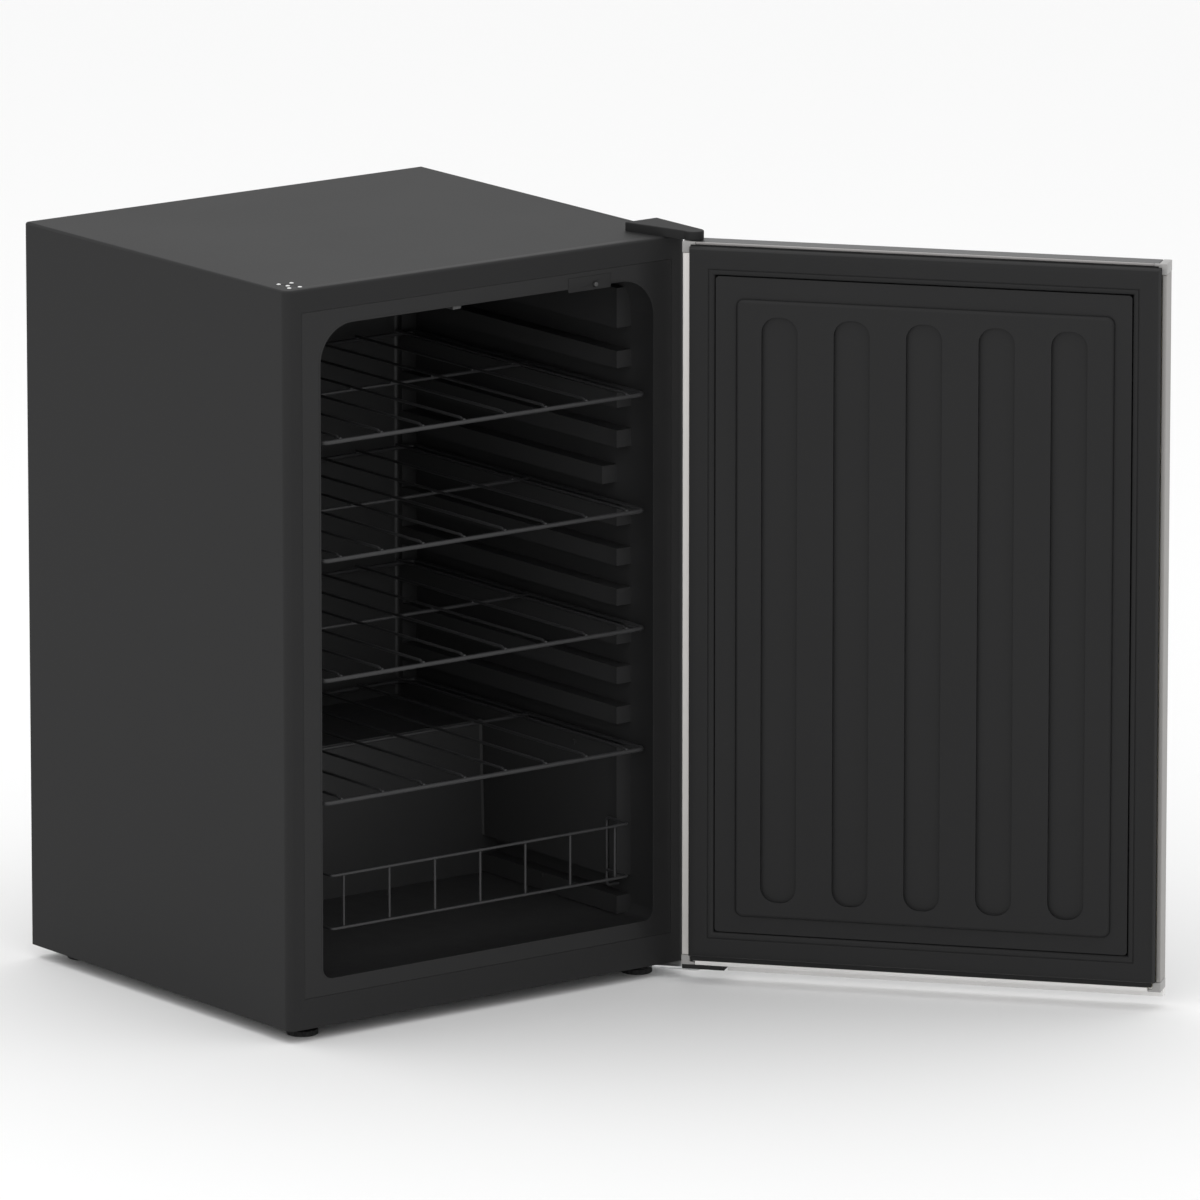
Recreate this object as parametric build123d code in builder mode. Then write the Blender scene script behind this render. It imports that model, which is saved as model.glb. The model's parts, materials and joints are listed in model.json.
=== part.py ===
from build123d import *
import math
import os

# Compact under-counter drinks cooler: insulated steel cabinet, solid door hinged on the right and
# modelled standing open, four sliding wire shelves and a low bottle guard.
# Axes: X to the right, Y towards the back, Z up. The origin is the middle of the cabinet's underside.

os.makedirs("parts", exist_ok=True)

# driving dimensions, millimetres
WIDTH = 525.0            # cabinet, side to side
DEPTH = 479.0            # cabinet, front flange to rear edge
HEIGHT = 798.0           # cabinet, underside to top
FRONT = -DEPTH / 2
BACK = DEPTH / 2
SKIN = 1.2               # steel outer sheet
FOOT_DROP = 14.0         # underside to floor

FLANGE = 20.0            # steel flange round the front
FLANGE_TOP = 25.0
FLANGE_BOTTOM = 33.0
OPEN_HALF = 218.5        # half width of the compartment
OPEN_LOW = 51.0
OPEN_HIGH = 756.0
OPEN_R = 44.0            # top corners of the tub
OPEN_R_LOW = 14.0        # its bottom corners
LINER = 2.0
WALL_BACK = FRONT + 439  # inner face of the rear wall
HUMP_FRONT = FRONT + 284 # step in the floor over the compressor
HUMP_TOP = 222.0
RIB_REACH = 19.0         # how far a rib stands out from the wall
RIB_FRONT = FRONT + 40
COLUMN = 9.0             # upright columns that join the ribs at the rear wall
STUDS = [(116.0, 228.4), (175.0, 69.0)]  # small formed studs on the ribs: in from the front, and up
STUD_R = 3.3

# rib tops and heights, then the blocks above and below them
RIBS = [(671.3, 18.7, 0), (626.0, 16.5, 0), (584.5, 18.7, 0), (541.0, 19.5, 26), (499.0, 19.0, 0),
        (455.0, 18.7, 0), (411.0, 18.7, 0), (370.0, 20.0, 0), (325.0, 18.7, 0), (281.0, 18.7, 0),
        (740.0, 43.5, 0), (237.0, 15.5, 0), (222.0, 129.0, 0), (72.0, 20.0, 0)]

SHELF_RIBS = [626.0, 499.0, 370.0, 237.0]
SHELF_R = 2.5
SHELF_HALF = 211.0
SHELF_FRONT = FRONT + 6.5
SHELF_BACK = FRONT + 424
CROSS_R = 1.6
CROSS_WIRES = 8
CROSS_PITCH = 53.8
SHELF_STAY = FRONT + 212  # wire across under the middle

HINGE_X = 252.5
HINGE_Y = FRONT - 28
OPEN_ANGLE = 129.4       # door angle from closed in the modelled position
DOOR_W = 525.0
DOOR_TOP = 797.5
DOOR_LOW = -2.8
INNER = -14.0            # door's inner trim plane, measured outwards from the hinge axis
OUTER = 12.0             # door's outer face
U0 = -10.0               # hinge-side edge, measured from the hinge axis
U1 = U0 + DOOR_W
PIN_R = 4.0
RUN = 0.05               # running clearance on the hinge pins

FOOT_X = 222.0           # feet, out from the middle and in from the front or rear edge
FOOT_IN = 34.0
PLUG_SPOTS = [(-246, FRONT + 36), (-231, FRONT + 34), (-243, FRONT + 24), (-249, FRONT + 13),
              (-236, FRONT + 12)]
TOP_SCREWS = [(233, FRONT + 38), (251, FRONT + 38), (243, FRONT + 14)]
BOTTOM_SCREWS = [(246, FRONT + 12), (246, FRONT + 34)]
COMP = (0.0, BACK - 78)  # centre of the compressor
MOUNT_SPOTS = [(COMP[0] + x, COMP[1] + y) for y in (-40, 40) for x in (-60, 60)]

BEZEL = (133.5, 760.0)   # control bezel and door switch, across and up
BEZEL_W = 57.0
BEZEL_H = 16.0
PLUNGER = (141.0, 758.0)
PLUNGER_OUT = 2.5        # how far the plunger stands out of the flange
KNOB = (120, FRONT + 150) # thermostat knob, across and back

swing = math.radians(OPEN_ANGLE)
ALONG = (-math.cos(swing), -math.sin(swing), 0)
OUTWARD = (math.sin(swing), -math.cos(swing), 0)
DOOR_TURN = math.degrees(math.atan2(ALONG[1], ALONG[0]))
DOOR = Plane(origin=(HINGE_X, HINGE_Y, 0), x_dir=ALONG, z_dir=(0, 0, 1))


def door_face(out):
    """Upright plane of the door, drawn from the inside, at a distance outwards from the hinge axis."""
    return Plane(
        origin=(HINGE_X + out * OUTWARD[0], HINGE_Y + out * OUTWARD[1], 0),
        x_dir=ALONG,
        z_dir=(-OUTWARD[0], -OUTWARD[1], 0),
    )


def at_height(spots, z):
    """The same plan positions, all at one height."""
    return [(x, y, z) for x, y in spots]


def beside_door(u, out, z):
    """A point given along the door, outwards from its hinge axis, and upwards."""
    return (HINGE_X + u * ALONG[0] + out * OUTWARD[0], HINGE_Y + u * ALONG[1] + out * OUTWARD[1], z)


def keep(part, label):
    part.label = label
    export_step(part, f"parts/{label}.step")


def front_plane(y):
    """Upright plane facing the front, with X to the right and Z up."""
    return Plane(origin=(0, y, 0), x_dir=(1, 0, 0), z_dir=(0, -1, 0))


# ---------------------------------------------------------------- cabinet outer

BAY_TOP = HUMP_TOP - 26  # roof of the compressor bay
BAY_FRONT = HUMP_FRONT + 30
DRAIN_X = 60.0
DRAIN_Z = 24.0

CORNER_R = 9.0  # outer bend of the steel at the two front uprights


def inside_steel(depth, low, high, clear):
    """Block that fills the inside of the steel from the front, with its front uprights rounded."""
    with BuildPart() as block:
        with Locations((0, FRONT + SKIN + clear + depth / 2, (low + high) / 2)):
            Box(WIDTH - 2 * (SKIN + clear), depth, high - low)
        fillet(block.edges().filter_by(Axis.Z).group_by(Axis.Y)[0], CORNER_R - SKIN - clear)
    return block.part


with BuildPart() as cabinet_shell:
    with Locations((0, 0, HEIGHT / 2)):
        Box(WIDTH, DEPTH, HEIGHT)
    uprights = cabinet_shell.edges().filter_by(Axis.Z).group_by(Axis.Y)[0]
    fillet(uprights, CORNER_R)
    fillet(cabinet_shell.edges().group_by(Axis.Z)[-1], 3)
    add(inside_steel(DEPTH, -2, HEIGHT - SKIN, 0), mode=Mode.SUBTRACT)
    # the mouth in the front flange
    with BuildSketch(front_plane(FRONT - 5)):
        with Locations((0, (FLANGE_BOTTOM + HEIGHT - FLANGE_TOP) / 2)):
            Rectangle(WIDTH - 2 * FLANGE, HEIGHT - FLANGE_TOP - FLANGE_BOTTOM)
    extrude(amount=-15, mode=Mode.SUBTRACT)
    with Locations(*at_height(TOP_SCREWS, HEIGHT)):
        Cylinder(2.6, 8, mode=Mode.SUBTRACT)
    # locating holes for a left-hand hinge, in the roof
    with Locations(*at_height(PLUG_SPOTS, HEIGHT)):
        Cylinder(1.6, 8, mode=Mode.SUBTRACT)
keep(cabinet_shell.part, "cabinet_shell")

with BuildPart() as hinge_hole_plugs:
    with Locations(*at_height(PLUG_SPOTS, HEIGHT - 1.1)):
        Cylinder(1.5, 2.2, align=(Align.CENTER, Align.CENTER, Align.MIN))
        with Locations((0, 0, 1.2)):
            Cylinder(2.3, 0.7, align=(Align.CENTER, Align.CENTER, Align.MIN))
keep(hinge_hole_plugs.part, "hinge_hole_plugs")

with BuildPart() as base_plate:
    add(inside_steel(DEPTH - SKIN - 0.4, 0, 1.5, 0.2))
    with Locations(*at_height(MOUNT_SPOTS, 0)):
        Cylinder(4.2, 10, mode=Mode.SUBTRACT)
    with Locations((-FOOT_X, FRONT + FOOT_IN, 0), (FOOT_X, FRONT + FOOT_IN, 0)):
        Cylinder(4.1, 10, mode=Mode.SUBTRACT)
    with Locations(*at_height(BOTTOM_SCREWS, 0)):
        Cylinder(2.6, 10, mode=Mode.SUBTRACT)
keep(base_plate.part, "base_plate")

with BuildPart() as rear_panel:
    with Locations((0, BACK - 1, (BAY_TOP + HEIGHT - SKIN) / 2)):
        Box(WIDTH - 2 * SKIN - 0.4, 1.0, HEIGHT - SKIN - BAY_TOP - 0.4)
keep(rear_panel.part, "rear_panel")

with BuildPart() as bay_partition:
    with BuildSketch(Plane.YZ):
        with BuildLine():
            Polyline((BAY_FRONT, 1.7), (BAY_FRONT, BAY_TOP - 34), (BAY_FRONT + 34, BAY_TOP),
                     (BACK - 1.7, BAY_TOP), (BACK - 1.7, BAY_TOP - 1.2), (BAY_FRONT + 34.5, BAY_TOP - 1.2),
                     (BAY_FRONT + 1.2, BAY_TOP - 34.5), (BAY_FRONT + 1.2, 1.7), close=True)
        make_face()
    extrude(amount=WIDTH / 2 - SKIN - 0.3, both=True)
    with Locations((DRAIN_X, BAY_FRONT, DRAIN_Z)):
        Cylinder(5.6, 12, rotation=(90, 0, 0), mode=Mode.SUBTRACT)
keep(bay_partition.part, "bay_partition")

# ---------------------------------------------------------------- liner and insulation

with BuildPart() as liner_block:
    # outside of the tub
    with BuildSketch(front_plane(FRONT)) as tub_section:
        with Locations((0, (OPEN_LOW + OPEN_HIGH) / 2)):
            Rectangle(2 * (OPEN_HALF + LINER), OPEN_HIGH - OPEN_LOW + 2 * LINER)
        fillet(tub_section.vertices().group_by(Axis.Y)[-1], OPEN_R)
        fillet(tub_section.vertices().group_by(Axis.Y)[0], OPEN_R_LOW)
    extrude(amount=-(WALL_BACK - FRONT + LINER))
    with Locations((0, (HUMP_FRONT + LINER + WALL_BACK + 30) / 2, (HUMP_TOP - LINER) / 2)):
        Box(WIDTH, WALL_BACK + 30 - HUMP_FRONT - LINER, HUMP_TOP - LINER, mode=Mode.SUBTRACT)
tub_outside = liner_block.part

with BuildPart() as shelf_ribs:
    for side in (-1, 1):
        for top, tall, back in RIBS:
            long = WALL_BACK - RIB_FRONT - back
            if top <= HUMP_TOP:
                long = HUMP_FRONT + LINER - RIB_FRONT
            with Locations((side * (OPEN_HALF - RIB_REACH / 2 + 0.5), RIB_FRONT + back + long / 2,
                            top - tall / 2)):
                Box(RIB_REACH + 1, long, tall)
        with Locations((side * (OPEN_HALF - RIB_REACH / 2 + 0.5), WALL_BACK - COLUMN / 2 + 0.5,
                        (HUMP_TOP + OPEN_HIGH) / 2)):
            Box(RIB_REACH + 1, COLUMN + 1, OPEN_HIGH - HUMP_TOP + 2)
        for back, up in STUDS:
            with Locations((side * (OPEN_HALF - RIB_REACH), FRONT + back, up)):
                Cylinder(STUD_R, 4.4, rotation=(0, 90, 0))
    add(tub_outside, mode=Mode.INTERSECT)

with BuildPart() as insulation_foam:
    with BuildSketch(Plane.YZ):
        with BuildLine():
            Polyline((FRONT + SKIN + 0.3, 1.8), (BAY_FRONT - 0.2, 1.8), (BAY_FRONT - 0.2, BAY_TOP - 34),
                     (BAY_FRONT + 34, BAY_TOP + 0.2), (BACK - 1.8, BAY_TOP + 0.2),
                     (BACK - 1.8, HEIGHT - SKIN - 0.3), (FRONT + SKIN + 0.3, HEIGHT - SKIN - 0.3),
                     close=True)
        make_face()
    extrude(amount=WIDTH / 2 - SKIN - 0.3, both=True)
    add(tub_outside, mode=Mode.SUBTRACT)
    # room for the liner's flange behind the front face
    with Locations((0, FRONT, HEIGHT / 2)):
        Box(WIDTH, 2 * (LINER + SKIN + 0.6), HEIGHT, mode=Mode.SUBTRACT)
    # pocket for the cold plate behind the rear wall
    with Locations((0, WALL_BACK + LINER + 1.2, 500)):
        Box(382, 2.6, 432, mode=Mode.SUBTRACT)
    # pocket for the thermostat wiring above the mouth
    with Locations((BEZEL[0], FRONT + 12, BEZEL[1])):
        Box(50, 22, 12, mode=Mode.SUBTRACT)
    # channel for the drain, and pockets over the feet
    with Locations((DRAIN_X, (HUMP_FRONT - 24 + BAY_FRONT) / 2, (17 + OPEN_LOW) / 2)):
        Box(11, BAY_FRONT - HUMP_FRONT + 24, OPEN_LOW - 17, mode=Mode.SUBTRACT)
    with Locations((-FOOT_X, FRONT + FOOT_IN, 0), (FOOT_X, FRONT + FOOT_IN, 0)):
        Cylinder(4.6, 40, mode=Mode.SUBTRACT)
    add(inside_steel(DEPTH, -2, HEIGHT, 0.3), mode=Mode.INTERSECT)
keep(insulation_foam.part, "insulation_foam")

with BuildPart() as inner_liner:
    add(tub_outside)
    # flange that fills the front face inside the steel
    with BuildSketch(front_plane(FRONT + 0.2)):
        with Locations((0, (FLANGE_BOTTOM + HEIGHT - FLANGE_TOP) / 2)):
            Rectangle(WIDTH - 2 * FLANGE - 0.6, HEIGHT - FLANGE_TOP - FLANGE_BOTTOM - 0.6)
    extrude(amount=-LINER)
    # the compartment
    with BuildSketch(front_plane(FRONT - 5)) as room_section:
        with Locations((0, (OPEN_LOW + OPEN_HIGH) / 2)):
            Rectangle(2 * OPEN_HALF, OPEN_HIGH - OPEN_LOW)
        fillet(room_section.vertices().group_by(Axis.Y)[-1], OPEN_R - LINER)
        fillet(room_section.vertices().group_by(Axis.Y)[0], OPEN_R_LOW - LINER)
    extrude(amount=-(HUMP_FRONT - FRONT + 5), mode=Mode.SUBTRACT)
    with BuildSketch(front_plane(HUMP_FRONT - 5)) as upper_section:
        with Locations((0, (HUMP_TOP + OPEN_HIGH) / 2)):
            Rectangle(2 * OPEN_HALF, OPEN_HIGH - HUMP_TOP)
        fillet(upper_section.vertices().group_by(Axis.Y)[-1], OPEN_R - LINER)
    extrude(amount=-(WALL_BACK - HUMP_FRONT + 5), mode=Mode.SUBTRACT)
    add(shelf_ribs.part)
    # recess for the control bezel in the upper flange, and the lamp opening
    with Locations((BEZEL[0], FRONT, BEZEL[1])):
        Box(BEZEL_W, 1.6, BEZEL_H, mode=Mode.SUBTRACT)
        Box(44, 22, 9, mode=Mode.SUBTRACT)
    # drain outlet in the floor at the foot of the step
    with Locations((DRAIN_X, HUMP_FRONT - 18, OPEN_LOW)):
        Cylinder(3.6, 12, mode=Mode.SUBTRACT)
keep(inner_liner.part, "inner_liner")

with BuildPart() as cold_plate:
    with Locations((0, WALL_BACK + LINER + 1.2, 500)):
        Box(380, 1.6, 430)
keep(cold_plate.part, "cold_plate")

with BuildPart() as drain_tube:
    with BuildLine() as drain_line:
        Polyline((DRAIN_X, HUMP_FRONT - 18, OPEN_LOW - LINER - 0.3), (DRAIN_X, HUMP_FRONT - 18, DRAIN_Z),
                 (DRAIN_X, BAY_FRONT + 20, DRAIN_Z))
        fillet(drain_line.vertices().group_by(Axis.Z)[0].sort_by(Axis.Y)[0], 9)
    with BuildSketch(Plane(origin=(DRAIN_X, HUMP_FRONT - 18, OPEN_LOW - LINER - 0.3), z_dir=(0, 0, -1))):
        Circle(5)
        Circle(3.6, mode=Mode.SUBTRACT)
    sweep(path=drain_line.wires()[0])
keep(drain_tube.part, "drain_tube")

# ---------------------------------------------------------------- controls in the mouth

with BuildPart() as control_bezel:
    with BuildSketch(front_plane(FRONT)):
        with Locations(BEZEL):
            RectangleRounded(BEZEL_W - 0.6, BEZEL_H - 0.6, 1.5)
        with Locations(PLUNGER):
            Circle(3.2, mode=Mode.SUBTRACT)
    extrude(amount=-0.7)
    with Locations((BEZEL[0], FRONT + 5, BEZEL[1])):
        Box(43, 8.6, 8)
    with Locations((PLUNGER[0], FRONT, PLUNGER[1])):
        Cylinder(2.55, 40, rotation=(90, 0, 0), mode=Mode.SUBTRACT)
keep(control_bezel.part, "control_bezel")

with BuildPart() as switch_plunger:
    with Locations((PLUNGER[0], FRONT - PLUNGER_OUT, PLUNGER[1])):
        Cylinder(2.5, PLUNGER_OUT + 6.5, rotation=(-90, 0, 0),
                 align=(Align.CENTER, Align.CENTER, Align.MIN))
    fillet(switch_plunger.edges().group_by(Axis.Y)[0], 1.0)
keep(switch_plunger.part, "switch_plunger")

with BuildPart() as lamp_lens:
    with Locations((-39.5, FRONT + 14, OPEN_HIGH - 2)):
        Box(11, 24, 4)
    fillet(lamp_lens.edges().group_by(Axis.Z)[0], 1.2)
keep(lamp_lens.part, "lamp_lens")

KNOB_TOP = OPEN_HIGH - 24.6
with BuildPart() as thermostat_housing:
    with Locations((KNOB[0], KNOB[1], OPEN_HIGH - 12)):
        Box(112, 96, 24)
    fillet(thermostat_housing.edges().filter_by(Axis.Z), 8)
    fillet(thermostat_housing.edges().group_by(Axis.Z)[0], 3)
    with Locations((KNOB[0], KNOB[1], OPEN_HIGH - 24)):
        Cylinder(3.05, 20, mode=Mode.SUBTRACT)
keep(thermostat_housing.part, "thermostat_housing")

with BuildPart() as thermostat_knob:
    with Locations((KNOB[0], KNOB[1], KNOB_TOP)):
        Cylinder(17, 9, align=(Align.CENTER, Align.CENTER, Align.MAX))
        # finger grooves
        with PolarLocations(17.4, 18):
            Cylinder(1.3, 30, mode=Mode.SUBTRACT)
        Cylinder(3.0, 9.6, align=(Align.CENTER, Align.CENTER, Align.MIN))
keep(thermostat_knob.part, "thermostat_knob")

# ---------------------------------------------------------------- shelves and guard

for number, rib_top in enumerate(SHELF_RIBS, 1):
    level = rib_top + SHELF_R + 0.1
    with BuildPart() as shelf:
        with BuildLine(Plane.XY.offset(level)) as loop:
            Polyline((0, SHELF_FRONT), (SHELF_HALF, SHELF_FRONT), (SHELF_HALF, SHELF_BACK),
                     (-SHELF_HALF, SHELF_BACK), (-SHELF_HALF, SHELF_FRONT), (0, SHELF_FRONT))
            fillet(loop.vertices().filter_by(lambda v: abs(v.X) > 1), 7)
        with BuildSketch(Plane(origin=(0, SHELF_FRONT, level), x_dir=(0, 1, 0), z_dir=(1, 0, 0))):
            Circle(SHELF_R)
        sweep(path=loop.wires()[0])
        # middle stay
        with Locations((0, SHELF_STAY, level)):
            Cylinder(2.0, 2 * SHELF_HALF, rotation=(0, 90, 0))
        # cross wires over the frame, turned down on to the front wire
        for k in range(CROSS_WIRES):
            x = (k - (CROSS_WIRES - 1) / 2) * CROSS_PITCH
            with BuildLine() as bent:
                Polyline((x, SHELF_FRONT + 0.6, level + 0.6), (x, SHELF_FRONT + 7, level + 3.7),
                         (x, SHELF_BACK + 1.5, level + 3.7))
                fillet(bent.vertices().sort_by(Axis.Y)[1], 4)
            with BuildSketch(Plane(origin=bent.wires()[0] @ 0, z_dir=bent.wires()[0] % 0)):
                Circle(CROSS_R)
            sweep(path=bent.wires()[0])
    keep(shelf.part, f"wire_shelf_{number}")

GUARD_Y = FRONT + 15
GUARD_HALF = 198.0
GUARD_LOW = 99.5
GUARD_HIGH = 157.5
GUARD_R = 1.6
GUARD_X = GUARD_HALF - GUARD_R
GUARD_UPRIGHTS = 7
GUARD_PITCH = 59.85
GUARD_DEEP = 38.5        # how far its ends reach back
GUARD_HOOK = 82.0        # height of the hooks
guard_corners = [(GUARD_X, GUARD_Y, GUARD_HIGH), (GUARD_X, GUARD_Y + GUARD_DEEP, GUARD_HIGH),
                 (GUARD_X, GUARD_Y + GUARD_DEEP, GUARD_LOW), (GUARD_X, GUARD_Y, GUARD_LOW)]
with BuildPart() as bottle_guard:
    # upper and lower wires across the mouth
    with Locations((0, GUARD_Y, GUARD_HIGH), (0, GUARD_Y, GUARD_LOW)):
        Cylinder(GUARD_R, 2 * GUARD_X, rotation=(0, 90, 0))
    for side in (-1, 1):
        # both wires turn back along the side blocks and are joined behind
        with Locations((side * GUARD_X, GUARD_Y + GUARD_DEEP / 2, GUARD_HIGH),
                       (side * GUARD_X, GUARD_Y + GUARD_DEEP / 2, GUARD_LOW)):
            Cylinder(GUARD_R, GUARD_DEEP, rotation=(90, 0, 0))
        with Locations((side * GUARD_X, GUARD_Y + GUARD_DEEP, (GUARD_HIGH + GUARD_HOOK) / 2)):
            Cylinder(GUARD_R, GUARD_HIGH - GUARD_HOOK)
        for x, y, z in guard_corners:
            with Locations((side * x, y, z)):
                Sphere(GUARD_R)
        # hooks that drop into the slot between the two lowest ribs
        with Locations((side * GUARD_X, GUARD_Y + GUARD_DEEP, GUARD_HOOK)):
            Sphere(GUARD_R)
        with Locations((side * (GUARD_X + 8), GUARD_Y + GUARD_DEEP, GUARD_HOOK)):
            Cylinder(GUARD_R, 16, rotation=(0, 90, 0))
    for k in range(GUARD_UPRIGHTS):
        x = (k - (GUARD_UPRIGHTS - 1) / 2) * GUARD_PITCH
        with Locations((x, GUARD_Y, (GUARD_LOW + GUARD_HIGH) / 2)):
            Cylinder(1.4, GUARD_HIGH - GUARD_LOW)
keep(bottle_guard.part, "bottle_guard")

# ---------------------------------------------------------------- hinges and feet

TOP_PLATE = 3.0
with BuildPart() as top_hinge_bracket:
    with BuildSketch(Plane.XY.offset(HEIGHT)):
        with BuildLine():
            Polyline((224, FRONT + 48), (258.6, FRONT + 48), (HINGE_X + 7.4, HINGE_Y),
                     (HINGE_X - 8.2, HINGE_Y + 2), close=True)
        make_face()
        with Locations((HINGE_X, HINGE_Y)):
            Circle(7.4)
    extrude(amount=TOP_PLATE)
    with Locations(*at_height(TOP_SCREWS, HEIGHT)):
        Cylinder(2.7, 20, mode=Mode.SUBTRACT)
    with Locations((HINGE_X, HINGE_Y, HEIGHT + TOP_PLATE)):
        Cylinder(PIN_R, 13.5, align=(Align.CENTER, Align.CENTER, Align.MAX))
keep(top_hinge_bracket.part, "top_hinge_bracket")

with BuildPart() as top_hinge_screws:
    with Locations(*at_height(TOP_SCREWS, HEIGHT + TOP_PLATE)):
        Cylinder(4.4, 2.4, align=(Align.CENTER, Align.CENTER, Align.MIN))
        Cylinder(2.5, 4.2, align=(Align.CENTER, Align.CENTER, Align.MAX))
keep(top_hinge_screws.part, "top_hinge_screws")

COVER_TALL = 9.6
cover_plan = [(220, FRONT + 52), (262, FRONT + 52), (262, HINGE_Y), (HINGE_X - 11.5, HINGE_Y + 3)]
with BuildPart() as hinge_cover:
    with BuildSketch(Plane.XY.offset(HEIGHT + 0.1)):
        with BuildLine():
            Polyline(*cover_plan, close=True)
        make_face()
        with Locations((HINGE_X - 1, HINGE_Y)):
            Circle(10.5)
    extrude(amount=COVER_TALL)
    fillet(hinge_cover.edges().group_by(Axis.Z)[-1], 1.2)
    # hollow underneath, over the bracket and screws
    with BuildSketch(Plane.XY.offset(HEIGHT - 1)):
        with BuildLine():
            Polyline((222.1, FRONT + 50.4), (260.4, FRONT + 50.4), (260.4, HINGE_Y),
                     (HINGE_X - 10, HINGE_Y + 3), close=True)
        make_face()
        with Locations((HINGE_X - 1, HINGE_Y)):
            Circle(9)
    extrude(amount=COVER_TALL - 0.4, mode=Mode.SUBTRACT)
keep(hinge_cover.part, "hinge_cover")

with BuildPart() as bottom_hinge_bracket:
    with BuildSketch(Plane.XY):
        with Locations((239, FRONT + 22)):
            Rectangle(40, 40)
        with BuildLine():
            Polyline((219, FRONT + 3), (259, FRONT + 3), (HINGE_X + 8, HINGE_Y), (HINGE_X - 8, HINGE_Y),
                     close=True)
        make_face()
        with Locations((HINGE_X, HINGE_Y)):
            Circle(8)
    extrude(amount=-3)
    with Locations(*at_height(BOTTOM_SCREWS, 0)):
        Cylinder(2.7, 20, mode=Mode.SUBTRACT)
    with Locations((FOOT_X, FRONT + FOOT_IN, 0)):
        Cylinder(5.2, 20, mode=Mode.SUBTRACT)
    with Locations((HINGE_X, HINGE_Y, -3)):
        Cylinder(PIN_R, 18, align=(Align.CENTER, Align.CENTER, Align.MIN))
keep(bottom_hinge_bracket.part, "bottom_hinge_bracket")

with BuildPart() as bottom_hinge_screws:
    with Locations(*at_height(BOTTOM_SCREWS, -3)):
        Cylinder(4.4, 2.2, align=(Align.CENTER, Align.CENTER, Align.MAX))
        Cylinder(2.5, 4.6, align=(Align.CENTER, Align.CENTER, Align.MIN))
keep(bottom_hinge_screws.part, "bottom_hinge_screws")

for label, side in (("left", -1), ("right", 1)):
    with BuildPart() as foot:
        with Locations((side * FOOT_X, FRONT + FOOT_IN, -FOOT_DROP)):
            Cylinder(17, 6, align=(Align.CENTER, Align.CENTER, Align.MIN))
        fillet(foot.edges(), 1.2)
        # finger grooves
        with Locations((side * FOOT_X, FRONT + FOOT_IN, -FOOT_DROP + 3)):
            with PolarLocations(18, 12):
                Cylinder(2.2, 8, mode=Mode.SUBTRACT)
        with Locations((side * FOOT_X, FRONT + FOOT_IN, -FOOT_DROP + 5)):
            Cylinder(4.05, 26, align=(Align.CENTER, Align.CENTER, Align.MIN))
    keep(foot.part, f"levelling_foot_{label}")
    with BuildPart() as rear_foot:
        with Locations((side * FOOT_X, BACK - FOOT_IN, -FOOT_DROP)):
            Cylinder(15, FOOT_DROP - 0.1, align=(Align.CENTER, Align.CENTER, Align.MIN))
        fillet(rear_foot.edges().group_by(Axis.Z)[0], 2)
    keep(rear_foot.part, f"rear_foot_{label}")

# ---------------------------------------------------------------- door

SIDE_U = 8.5             # hinge-side trim width on the inner face
FREE_U = 5.0             # free-side trim width on the inner face
with BuildPart(DOOR) as hinge_side_trim:
    with Locations(((U0 + U0 + SIDE_U) / 2, (INNER + OUTER) / 2, (16 + DOOR_TOP - 12) / 2)):
        Box(SIDE_U, OUTER - INNER, DOOR_TOP - 28)
    fillet(hinge_side_trim.edges().filter_by(Axis.Z), 1.0)
keep(hinge_side_trim.part, "hinge_side_trim")

with BuildPart(DOOR) as free_side_trim:
    with Locations((U1 - FREE_U / 2, (INNER + OUTER) / 2, (16 + DOOR_TOP - 12) / 2)):
        Box(FREE_U, OUTER - INNER, DOOR_TOP - 28)
    fillet(free_side_trim.edges().filter_by(Axis.Z), 1.0)
keep(free_side_trim.part, "free_side_trim")

BUSH_R = 7.0
with BuildPart(DOOR) as top_hinge_bushing:
    with Locations((0, 0, DOOR_TOP - 0.2)):
        Cylinder(BUSH_R, 11.6, align=(Align.CENTER, Align.CENTER, Align.MAX))
        Cylinder(PIN_R + RUN, 30, mode=Mode.SUBTRACT)
keep(top_hinge_bushing.part, "top_hinge_bushing")

# corner caps close the ends of the side trims
for label, u, low, tall in (("top_hinge", U0, DOOR_TOP - 11.8, 12), ("bottom_hinge", U0, 5.2, 10.6),
                            ("top_free", U1, DOOR_TOP - 11.8, 12), ("bottom_free", U1, 5.2, 10.6)):
    inner = 1 if u == U0 else -1
    with BuildPart(DOOR) as cap:
        with Locations((u + inner * 4.2, (INNER + OUTER) / 2 - 0.3, low + tall / 2)):
            Box(9.2, OUTER - INNER + 0.6, tall)
        foot_z = low + 1.6 if "bottom" in label else low + tall - 1.6
        with Locations((u + inner * 7, INNER + 0.9, foot_z)):
            Box(14, 3, 3.2)
        if u == U0:
            with Locations((0, 0, low + tall / 2)):
                Cylinder(BUSH_R + 0.1, tall + 4, mode=Mode.SUBTRACT)
    keep(cap.part, f"corner_cap_{label}")

TRIM_IN = U0 + 9.0
TRIM_OUT = U1 - 9.0
with BuildPart(DOOR) as top_trim:
    with Locations(((TRIM_IN + TRIM_OUT) / 2, INNER + 1.5, DOOR_TOP - 1.4)):
        Box(TRIM_OUT - TRIM_IN - 10.4, 3, 2.8)
keep(top_trim.part, "top_trim")

with BuildPart(DOOR) as top_cap:
    with Locations(((TRIM_IN + TRIM_OUT) / 2, (INNER + 3.2 + OUTER) / 2, DOOR_TOP - 2)):
        Box(TRIM_OUT - TRIM_IN - 0.4, OUTER - INNER - 3.2, 4)
    with Locations((0, 0, DOOR_TOP)):
        Cylinder(BUSH_R + 0.1, 30, mode=Mode.SUBTRACT)
    fillet(top_cap.edges().group_by(Axis.Z)[-1].filter_by(lambda e: e.length > 100), 1)
keep(top_cap.part, "top_cap")

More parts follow.
